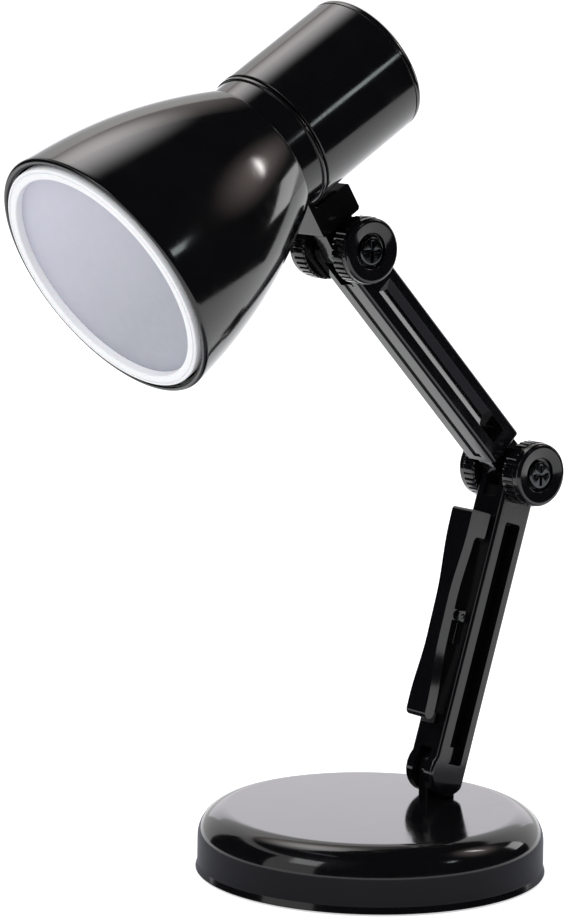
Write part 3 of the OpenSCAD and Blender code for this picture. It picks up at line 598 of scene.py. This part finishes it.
def makeShade(sizes):
    mouth, rear, length, lip = (sizes[key] for key in ("mouth", "rear", "length", "lip"))
    seat, seatEdge = sizes["seat"], sizes["seatEdge"]
    outer = curve([(mouth, 0), (rear, length)],
                  [(mouth + sizes["mouthHandle"][0], sizes["mouthHandle"][1]),
                   (rear + sizes["rearHandle"][0], length + sizes["rearHandle"][1])], 64)
    outer = [point for point in outer if lip < point.y < length - sizes["rearEdge"] * 0.8]
    inner = [point - Vector((sizes["wall"], 0)) for point in outer if point.y < length - sizes["innerEnd"]]
    lipArc = arc((outer[0].x - lip, lip), lip, 0, -180, 12)
    back = rounded([(*outer[-1], 0), (rear, length, sizes["rearEdge"]), (seat, length, seatEdge),
                    (seat, length - sizes["wall"], seatEdge), (*inner[-1], 0)], closed=False)
    profile = lipArc[::-1][:-1] + outer + back[1:-1] + inner[::-1]
    return turned(profile, closed=True, segments=192)


makePiece("shadeShell", makeShade(shadeSizes), headPlace, "head", glossBlack, ["shade"])

bezelSizes = {"outer": 20.9, "inner": 19.0, "front": -0.5, "length": 2.4, "seatRadius": 19.8, "seatFrom": 0.9,
              "groove": (20.2, 20.5, 0.2), "softEdge": 0.25, "crispEdge": 0.05}


def makeBezel(sizes):
    inner, outer, front, seat = (sizes[key] for key in ("inner", "outer", "front", "seatRadius"))
    soft, crisp, seatFrom = sizes["softEdge"], sizes["crispEdge"], sizes["seatFrom"]
    rear = front + sizes["length"]
    grooveFrom, grooveTo, grooveDepth = sizes["groove"]
    floor = front + grooveDepth
    return turned(rounded([
        (inner, front, soft), (grooveFrom, front, crisp), (grooveFrom, floor, crisp),
        (grooveTo, floor, crisp), (grooveTo, front, crisp), (outer, front, soft), (outer, rear, 0.1),
        (seat, rear, crisp), (seat, seatFrom, crisp), (inner, seatFrom, crisp)], steps=4),
        closed=True, segments=192)


makePiece("bezelRing", makeBezel(bezelSizes), headPlace, "head", bezelWhite, ["bezel_ring"])

diffuserSizes = {"radius": 19.75, "front": 0.92, "thickness": 1.0, "crown": 0.25, "crownSteps": 24,
                 "softEdge": 0.15}


def makeDiffuser(sizes):  # the front is crowned a little, towards the mouth
    radius, front, soft, steps = (sizes[key] for key in ("radius", "front", "softEdge", "crownSteps"))
    rear = front + sizes["thickness"]
    crown = [(radius * step / steps, front - sizes["crown"] * (1 - (step / steps) ** 2))
             for step in range(steps)]
    rim = rounded([(*crown[-1], 0), (radius, front, soft), (radius, rear, soft), (0, rear, 0)], closed=False)
    return turned(crown + rim[1:], segments=128)


makePiece("diffuserDisc", makeDiffuser(diffuserSizes), headPlace, "head", diffuserFrost,
          ["diffuser"])

collarSizes = {"radius": 12.1, "from": 34.65, "length": 5.0, "lipHeight": 0.3, "lipWidth": 0.7,
               "spigot": 10.5, "spigotFrom": 31.65, "spigotTo": 44.65, "bore": 7.3, "softEdge": 0.18}
bracketSizes = {"width": 6.6, "root": 10.2, "top": 13.35, "bottom": 18.6, "front": 38.55, "rear": 47.5,
                "tongueWidth": 3.3, "tongueRadius": 3.2, "neck": (23.9, 43.2), "bore": 1.3, "corner": 0.6}


def makeCollar(sizes, bracket):
    soft, back = sizes["softEdge"], sizes["from"] + sizes["length"]
    lipRadius, lipFrom = sizes["radius"] + sizes["lipHeight"], back - sizes["lipWidth"]
    ring = turned(rounded([
        (sizes["bore"], sizes["spigotFrom"], soft), (sizes["spigot"], sizes["spigotFrom"], soft),
        (sizes["spigot"], sizes["from"], 0.05), (sizes["radius"], sizes["from"], soft),
        (sizes["radius"], lipFrom, 0.08), (lipRadius, lipFrom, soft), (lipRadius, back, soft),
        (sizes["spigot"], back, 0.05), (sizes["spigot"], sizes["spigotTo"], soft),
        (sizes["bore"], sizes["spigotTo"], soft)], steps=4), closed=True, segments=192)
    corner, half = bracket["corner"], bracket["width"] / 2
    root, top, bottom, front, rear = (bracket[key] for key in ("root", "top", "bottom", "front", "rear"))
    foot = sidePrism(rounded([(root, front, 0), (bottom, front, corner), (bottom, rear, corner),
                              (top, rear, corner), (top, back, 0.4), (root, back, 0)]), -half, half)
    neckY, neckZ = bracket["neck"]
    radius, tongueHalf = bracket["tongueRadius"], bracket["tongueWidth"] / 2
    tongue = sidePrism(arc((neckY, neckZ), radius, -90, 90) + [
        Vector((bottom - 1, neckZ + radius)), Vector((bottom - 1, neckZ - radius))],
        -tongueHalf, tongueHalf)
    bore = shifted(rod(bracket["bore"], -half, half), y=neckY, z=neckZ)
    return combined(ring, [("UNION", foot), ("UNION", tongue), ("DIFFERENCE", bore)])


makePiece("collarBody", makeCollar(collarSizes, bracketSizes), headPlace, "head", glossBlack,
          ["head_collar"], edge=0.15)

capSizes = {"radius": 12.45, "from": 39.95, "length": 23.4, "wall": 1.4, "edge": 1.1, "seamFrom": 1.7,
            "seamWidth": 0.2, "seamDepth": 0.12}


def makeCap(sizes):
    radius, wall, front = sizes["radius"], sizes["wall"], sizes["from"]
    back = front + sizes["length"]
    seam = back - sizes["seamFrom"]
    seamTo, seamFloor = seam + sizes["seamWidth"], radius - sizes["seamDepth"]
    return turned(rounded([
        (0, back, 0), (radius, back, sizes["edge"]), (radius, seamTo, 0.05), (seamFloor, seamTo, 0.03),
        (seamFloor, seam, 0.03), (radius, seam, 0.05), (radius, front, 0.25), (radius - wall, front, 0.25),
        (radius - wall, back - wall, 0.5), (0, back - wall, 0)], closed=False, steps=8), segments=192)


makePiece("batteryCapShell", makeCap(capSizes), headPlace, "battery_cap", glossBlack,
          ["battery_cap"])
print("head is made")

baseSizes = {"radius": 30, "height": 11, "edge": 5.2, "wall": 2, "flare": 0.35, "flareHeight": 1.2,
             "from": 0.3, "bossCircle": 18, "bossRadius": 2.3, "bossFrom": 2.22, "bossTop": 1.5,
             "pilotRadius": 0.8, "pilotTo": 8.2, "bosses": 3}
lugSizes = {"thickness": 2.4, "radius": 3.2, "bore": 0.95, "softEdge": 0.25, "sink": 1}


def makeBaseCover(sizes, lug):
    radius, height, edge, wall, low = (sizes[key] for key in ("radius", "height", "edge", "wall", "from"))
    profile = rounded([
        (0, height, 0), (radius, height, edge), (radius, low + sizes["flareHeight"], 0.8),
        (radius + sizes["flare"], low, 0.15), (radius - wall, low, 0.15),
        (radius - wall, height - wall, edge - wall), (0, height - wall, 0)], closed=False, steps=16)
    cover = turned(profile, segments=240)
    footY, footZ = footPoint.y / mm, footPoint.z / mm
    half, lugRadius, root = lug["thickness"] / 2, lug["radius"], height - lug["sink"]
    plate = sidePrism(arc((footY, footZ), lugRadius, 0, 180, 32) + [
        Vector((footY - lugRadius, root)), Vector((footY + lugRadius, root))], -half, half)
    plate = softened(plate, lug["softEdge"], 3)
    bore = shifted(rod(lug["bore"], -half - 1, half + 1), y=footY, z=footZ)
    changes = [("UNION", plate), ("DIFFERENCE", bore)]
    for index in range(sizes["bosses"]):
        turn = Matrix.Rotation(math.radians(-90 + 360 * index / sizes["bosses"]), 4, "Z")
        for operation, size, low, high in (
                ("UNION", sizes["bossRadius"], sizes["bossFrom"], height - sizes["bossTop"]),
                ("DIFFERENCE", sizes["pilotRadius"], 0, sizes["pilotTo"])):
            place = turn @ Matrix.Translation((sizes["bossCircle"], 0, (low + high) / 2))
            changes.append((operation, moved(straightBar(size, high - low, 48), place)))
    return combined(cover, changes)


makePiece("baseCoverShell", makeBaseCover(baseSizes, lugSizes), basePlace, "base", glossBlack,
          ["base_cover"])

padSizes = {"radius": 26.6, "thickness": 0.8, "softEdge": 0.2}


def makePad(sizes):
    radius, top, soft = sizes["radius"], sizes["thickness"], sizes["softEdge"]
    profile = rounded([(0, 0, 0), (radius, 0, soft), (radius, top, soft), (0, top, 0)], closed=False)
    return turned(profile, segments=128)


makePiece("basePadFoam", makePad(padSizes), basePlace, "base", padRubber, ["base_pad"])
print("base is made")

armSizes = {"width": 7.2, "depth": 7.4, "edge": 0.6, "sharpEdge": 0.14, "pocketDepth": 2.6,
            "pocketCorner": 0.5, "earSlot": 3.5, "earSlotDepth": 5.5, "bore": 1.3}
lowerSizes = {"frontFlange": 2.2, "rearFlange": 1.7, "pocketFrom": 4.3, "pocketEnd": 9.3, "cheekFrom": 1.4,
              "cheekDepth": 1.45, "footRadius": 4.4, "footSlot": 3.1, "footSlotTo": 3.5, "pinBore": 0.92,
              "pinSkin": 0.7, "clipEars": (1.75, 0.6, 0.95), "clipBore": 0.47}
upperSizes = {"frontFlange": 2.2, "rearFlange": 2.0, "pocketFrom": 9.4, "channelFrom": 14.3,
              "channelEnd": 8.8, "channelDepth": 0.95, "valley": 0.5, "channelHip": 1.6, "shoulder": 6.1,
              "tongueWidth": 3.3, "tongueRadius": 3.2, "tongueRoot": 0.5, "groove": (2.0, 0.3, 1.5)}


def pockets(arm, flanges, low, high, depth):  # one for each side, as changes for combined()
    front, rear = -arm["depth"] / 2 + flanges["frontFlange"], arm["depth"] / 2 - flanges["rearFlange"]
    corner, half = arm["pocketCorner"], arm["width"] / 2
    outline = [(front, low, corner), (rear, low, corner), (rear, high, corner), (front, high, corner)]
    return [("DIFFERENCE", sidePrism(rounded(outline), *sorted((side * (half - depth), side * (half + 1)))))
            for side in (-1, 1)]


def earSlot(arm, length):
    slot = box(arm["earSlot"], arm["depth"] + 2, length - arm["earSlotDepth"], length + arm["depth"])
    return "DIFFERENCE", slot


def makeLowerArm(arm, sizes):
    half, back, foot = arm["width"] / 2, arm["depth"] / 2, sizes["footRadius"]
    footAngle = math.degrees(math.acos(back / foot))
    outline = arc((0, lowerLength), back, 0, 180) + arc((0, 0), foot, 180 - footAngle, 360 - footAngle, 12)
    bar = softened(sidePrism(outline, -half, half), arm["edge"], 4)
    earX, earThickness, earRadius = sizes["clipEars"]
    clipPoint = lowerPlace.inverted() @ jointPoint("clip_squeeze")
    clipY, clipZ = clipPoint.y, clipPoint.z
    changes = []
    for side in (-1, 1):
        ear = sidePrism(arc((clipY, clipZ), earRadius, 90, 270) + [
            Vector((-back + 0.5, clipZ - earRadius)), Vector((-back + 0.5, clipZ + earRadius))],
            *sorted((side * earX, side * (earX + earThickness))))
        changes.append(("UNION", ear))
    slot = box(sizes["footSlot"], 2 * (foot + 1), -foot - 1, sizes["footSlotTo"])
    changes += [("DIFFERENCE", slot), earSlot(arm, lowerLength),
                ("DIFFERENCE", rod(sizes["pinBore"], -half - 1, half - sizes["pinSkin"])),
                ("DIFFERENCE", shifted(rod(arm["bore"], -half - 1, half + 1), z=lowerLength)),
                ("DIFFERENCE", shifted(rod(sizes["clipBore"], -half, half, 32), y=clipY, z=clipZ))]
    changes += pockets(arm, sizes, sizes["pocketFrom"], lowerLength - sizes["pocketEnd"], arm["pocketDepth"])
    changes += pockets(arm, sizes, sizes["cheekFrom"], sizes["pocketFrom"] + 1, sizes["cheekDepth"])
    return combined(bar, changes)


makePiece("lowerArmBar", makeLowerArm(armSizes, lowerSizes), lowerPlace, "lower_arm", satinBlack,
          ["lower_arm"], edge=armSizes["sharpEdge"])


def sideChannels(arm, sizes):  # V-shaped, with a sloping end at the neck
    front, rear = -arm["depth"] / 2 + sizes["frontFlange"], arm["depth"] / 2 - sizes["rearFlange"]
    face, high = arm["width"] / 2, upperLength - sizes["channelEnd"]
    changes = []
    for side in (-1, 1):
        valley = side * (face - sizes["channelDepth"])
        cut = prism([(valley, sizes["valley"]), (side * face, rear), (side * (face + 1), rear),
                     (side * (face + 1), front), (side * face, front)], sizes["channelFrom"] - 0.6, high)
        for vert in cut.verts:
            if vert.co.z > high - 0.1 and abs(vert.co.x) < face - 0.1:
                vert.co.z -= sizes["channelHip"]
        changes.append(("DIFFERENCE", cut))
    return changes


def makeUpperArm(arm, sizes):
    half, back, shoulder = arm["width"] / 2, arm["depth"] / 2, sizes["shoulder"]
    outline = arc((0, upperLength), back, 0, 180) + [Vector((-back, shoulder)), Vector((back, shoulder))]
    bar = softened(sidePrism(outline, -half, half), arm["edge"], 4)
    radius, tongueHalf = sizes["tongueRadius"], sizes["tongueWidth"] / 2
    root = shoulder + sizes["tongueRoot"]
    tongue = sidePrism(arc((0, 0), radius, 180, 360) + [Vector((radius, root)), Vector((-radius, root))],
                       -tongueHalf, tongueHalf)
    grooveWidth, grooveDepth, grooveEnd = sizes["groove"]
    groove = shifted(box(grooveWidth, 2 * grooveDepth, shoulder + grooveEnd,
                         upperLength - back - grooveEnd), y=-back)
    changes = [("UNION", tongue), ("DIFFERENCE", rod(arm["bore"], -half, half)), earSlot(arm, upperLength),
               ("DIFFERENCE", shifted(rod(arm["bore"], -half - 1, half + 1), z=upperLength)),
               ("DIFFERENCE", groove)]
    changes += pockets(arm, sizes, sizes["pocketFrom"], sizes["channelFrom"], arm["pocketDepth"])
    return combined(bar, changes + sideChannels(arm, sizes))


makePiece("upperArmBar", makeUpperArm(armSizes, upperSizes), upperPlace, "upper_arm", satinBlack,
          ["upper_arm"], edge=armSizes["sharpEdge"], smoothAngle=24)
print("arm sections are made")

knobSizes = {"from": 3.7, "radius": 5.7, "thickness": 4.2, "bandTo": 2.8, "step": 0.15, "edge": 0.6,
             "footEdge": 0.25, "rimEdge": 0.25, "ribs": 36, "ribShare": 0.25, "valley": 0.24,
             "recess": 3.0, "recessDepth": 1.1, "chamfer": 0.35, "chamferTo": 4.8,
             "nutAcross": 4.5, "nutFrom": 1.55}
screwSizes = {"head": 2.45, "headThickness": 0.9, "edge": 0.4, "shank": 1.25, "end": -10.1, "crossWidth": 0.6,
              "crossHalf": 1.7, "crossDepth": 0.55, "dome": 0.05}
nutSizes = {"across": 4.4, "from": 1.57, "thickness": 1.5, "bore": 1.3, "chamfer": 0.3}


def makeKnob(sizes, bore):
    radius, top, band = sizes["radius"], sizes["thickness"], sizes["bandTo"]
    floor, shoulder = top - sizes["recessDepth"], radius - sizes["step"]
    foot, recess, ribShare = sizes["footEdge"], sizes["recess"], sizes["ribShare"]
    profile = rounded([
        (bore, 0, 0.1), (radius - foot, 0, 0.05), (radius, foot, 0.05), (radius, band, 0.06),
        (shoulder, band, 0.03), (shoulder, top, sizes["edge"]), (sizes["chamferTo"], top, sizes["rimEdge"]),
        (recess, top - sizes["chamfer"], 0.2), (recess, floor, 0.1), (bore, floor, 0.1)], steps=4)
    knob = turned(profile, closed=True, segments=sizes["ribs"] * 8)
    for vert in knob.verts:  # the flutes are pressed into the band
        outward = math.hypot(vert.co.x, vert.co.y)
        if outward > shoulder + 0.02:
            share = (math.atan2(vert.co.y, vert.co.x) * sizes["ribs"] / math.tau) % 1
            press = max(0.0, math.cos(math.tau * share) - ribShare) / (1 - ribShare) * sizes["valley"]
            factor = 1 - press / outward
            vert.co.x *= factor
            vert.co.y *= factor
    return knob


def hexagon(across, low, high):
    radius = across / 2 / math.cos(math.pi / 6)
    turn = Matrix.Translation((0, 0, (low + high) / 2)) @ Matrix.Rotation(math.pi / 6, 4, "Z")
    return moved(straightBar(radius, high - low, 6), turn)


def makeFarKnob(sizes):
    seat = hexagon(sizes["nutAcross"], sizes["nutFrom"], sizes["thickness"] + 1)
    return combined(makeKnob(sizes, nutSizes["bore"]), [("DIFFERENCE", seat)])


def makeScrew(sizes, seat):
    top = seat + sizes["headThickness"]
    end, shank, head = sizes["end"], sizes["shank"], sizes["head"]
    profile = rounded([(0, end, 0), (shank, end, 0.3), (shank, seat, 0.1), (head, seat, 0.1),
                       (head, top, sizes["edge"]), (0, top + sizes["dome"], 0)], closed=False)
    screw = turned(profile, segments=96)
    cuts = []
    for angle in (0, math.pi / 2):
        slot = box(sizes["crossWidth"], 2 * sizes["crossHalf"], top - sizes["crossDepth"], top + 1)
        cuts.append(("DIFFERENCE", moved(slot, Matrix.Rotation(angle, 4, "Z"))))
    return combined(screw, cuts)


def makeNut(sizes):
    low, bore, chamfer = sizes["from"], sizes["bore"], sizes["chamfer"]
    high = low + sizes["thickness"]
    widest = sizes["across"] / 2 / math.cos(math.pi / 6)
    outer = widest + 0.1
    profile = rounded([(bore, low, 0.12), (widest - chamfer, low, 0), (outer, low + chamfer, 0),
                       (outer, high - chamfer, 0), (widest - chamfer, high, 0), (bore, high, 0.12)], steps=2)
    blank = turned(profile, closed=True, segments=96)
    return combined(blank, [("INTERSECT", hexagon(sizes["across"], low - 1, high + 1))])


screwGap = 0.02  # between the screw's shank or head and the knob
seatHeight = knobSizes["thickness"] - knobSizes["recessDepth"] + screwGap
for jointName, point, armBody in (("elbow", elbowPoint, "lower_arm"), ("neck", neckPoint, "upper_arm")):
    nearPlace = placeBeside(point, 1, knobSizes["from"])
    farPlace = placeBeside(point, -1, knobSizes["from"])
    knobBody = jointName + "_knob"
    makePiece(jointName + "Knob", makeKnob(knobSizes, screwSizes["shank"] + screwGap), nearPlace, knobBody,
              knobBlack, [jointName + "_knob"])
    makePiece(jointName + "FarKnob", makeFarKnob(knobSizes), farPlace, armBody, knobBlack,
              [jointName + "_far_knob"])
    makePiece(jointName + "Screw", makeScrew(screwSizes, seatHeight), nearPlace, knobBody, darkSteel,
              [jointName + "_screw"], edge=0.06)
    makePiece(jointName + "Nut", makeNut(nutSizes), farPlace, armBody, nickel, [jointName + "_nut"],
              smoothAngle=25)
print("knobs and screws are made")

clipSizes = {"thickness": 2.1, "topOut": 3.0, "top": 18.5, "toeOut": 2.2, "toe": -17.7,
             "lugReach": 0.35, "lugHeight": 4.5, "topWidth": 5.3, "waistWidth": 3.2, "toeWidth": 5.0,
             "thumbBlend": (0.55, 0.92), "toeBlend": (0.36, 0.04), "corner": 0.6,
             "cheeks": (1.2, 0.4, 0.95), "bore": 0.5, "softEdge": 0.2}


def blend(share, span):  # runs smoothly from 0 to 1 while the share goes along the span
    along = min(max((share - span[0]) / (span[1] - span[0]), 0), 1)
    return (1 - math.cos(math.pi * along)) / 2


def makeClipLever(sizes):
    half, top, toe, lug = sizes["thickness"] / 2, sizes["top"], sizes["toe"], sizes["lugReach"]
    topOut, toeOut, lugLow = sizes["topOut"], sizes["toeOut"], sizes["top"] - sizes["lugHeight"]
    side = rounded([(-toeOut - half, toe, 0), (-topOut - half, top, sizes["corner"]), (lug, top, 0.3),
                    (lug, lugLow, 0.3), (-topOut + half, lugLow, 0.8), (-toeOut + half, toe, 0)])
    side += arc((-toeOut, toe), half, 0, -180, 16)[1:-1]
    widest, steps = sizes["topWidth"], 48
    edge = []
    for step in range(steps + 1):
        share = step / steps
        width = (sizes["waistWidth"] + (widest - sizes["waistWidth"]) * blend(share, sizes["thumbBlend"])
                 + (sizes["toeWidth"] - sizes["waistWidth"]) * blend(share, sizes["toeBlend"]))
        edge.append(Vector((width / 2, toe + share * (top - toe))))
    edge[-1].y += 1
    edge.insert(0, Vector((sizes["toeWidth"] / 2, toe - half - 1)))
    front = edge + [Vector((-point.x, point.y)) for point in reversed(edge)]
    lever = sidePrism(side, -widest, widest)
    faceCut = moved(prism(front, -10, 10), alongY)
    inner, thickness, radius = sizes["cheeks"]
    changes = [("INTERSECT", faceCut)]
    for way in (-1, 1):
        outline = arc((0, 0), radius, -90, 90) + [Vector((-toeOut, radius)), Vector((-toeOut, -radius))]
        cheek = sidePrism(outline, *sorted((way * inner, way * (inner + thickness))))
        changes.append(("UNION", cheek))
    changes.append(("DIFFERENCE", rod(sizes["bore"], -widest, widest, 32)))
    return combined(lever, changes)


makePiece("clipLever", makeClipLever(clipSizes), clipPlace, "clip", satinBlack, ["clip_leaf"],
          edge=clipSizes["softEdge"])

gripPadSizes = {"width": 2.0, "front": -0.95, "back": 0.95, "low": -19.4, "high": -17.4, "softEdge": 0.35}


def makeGripPad(sizes):
    front, back = sizes["front"], sizes["back"]
    pad = box(sizes["width"], back - front, sizes["low"], sizes["high"])
    return softened(shifted(pad, y=(front + back) / 2), sizes["softEdge"], 4)


makePiece("clipGripPad", makeGripPad(gripPadSizes), clipPlace, "clip", padRubber, ["clip_pad"])

clipPinSizes = {"radius": 0.45, "half": 2.35, "softEdge": 0.12}
hingePinSizes = {"radius": 0.9, "from": -3.58, "to": 2.88, "softEdge": 0.2}
makePiece("clipPinRod", softened(rod(clipPinSizes["radius"], -clipPinSizes["half"], clipPinSizes["half"], 48),
                                 clipPinSizes["softEdge"], 3), clipPlace, "lower_arm", darkSteel,
          ["clip_pin"])
makePiece("footHingePin", softened(rod(hingePinSizes["radius"], hingePinSizes["from"], hingePinSizes["to"]),
                                   hingePinSizes["softEdge"], 3), lowerPlace, "lower_arm", darkSteel,
          ["base_hinge_pin"])

clipSpringSizes = {"wire": 0.28, "radius": 0.69, "turns": 2.5, "pitch": 0.74, "leg": 5.0}
cellSpringSizes = {"wire": 0.5, "radius": 2.2, "turns": 3, "from": 53.0, "rise": 8.1}


def makeWire(name, points, wire, place, body, material, node):  # a round wire swept along its points
    line = bpy.data.curves.new(name, "CURVE")
    line.dimensions = "3D"
    line.bevel_depth = wire / 2 * mm
    line.bevel_resolution = 3
    line.use_fill_caps = True
    spline = line.splines.new("POLY")
    spline.points.add(len(points) - 1)
    for target, point in zip(spline.points, points):
        target.co = (*(place @ Vector(point)), 1)
    coil = bpy.data.objects.new(name, line)
    shape = bmesh.new()
    shape.from_mesh(coil.to_mesh())
    coil.to_mesh_clear()
    bpy.data.objects.remove(coil)
    bpy.data.curves.remove(line)
    makePiece(name, shape, Matrix.Identity(4), body, material, [node], smoothAngle=60)


def clipSpringPoints(sizes, steps=24):  # the coil runs along x, with a straight leg at each end
    radius, length = sizes["radius"], sizes["turns"] * sizes["pitch"]
    start, coil = -length / 2, []
    for step in range(int(sizes["turns"] * steps) + 1):
        angle = math.tau * step / steps
        across = start + sizes["pitch"] * step / steps
        coil.append((across, -radius * math.cos(angle), radius * math.sin(angle)))
    return [(start, -radius, -sizes["leg"])] + coil + [(length / 2, radius, -sizes["leg"])]


def cellSpringPoints(sizes, steps=32):  # the coil widens towards the cap
    points = []
    for step in range(int(sizes["turns"] * steps) + 1):
        angle, share = math.tau * step / steps, step / (sizes["turns"] * steps)
        radius, height = sizes["radius"] * (1 + share), sizes["from"] + share * sizes["rise"]
        points.append((radius * math.cos(angle), radius * math.sin(angle), height))
    return points


makeWire("clipSpringCoil", clipSpringPoints(clipSpringSizes), clipSpringSizes["wire"], clipPlace, "lower_arm",
         darkSteel, "clip_spring")
makeWire("cellSpringCoil", cellSpringPoints(cellSpringSizes), cellSpringSizes["wire"], headPlace,
         "battery_cap", nickel, "cell_spring")
print("clip and springs are made")
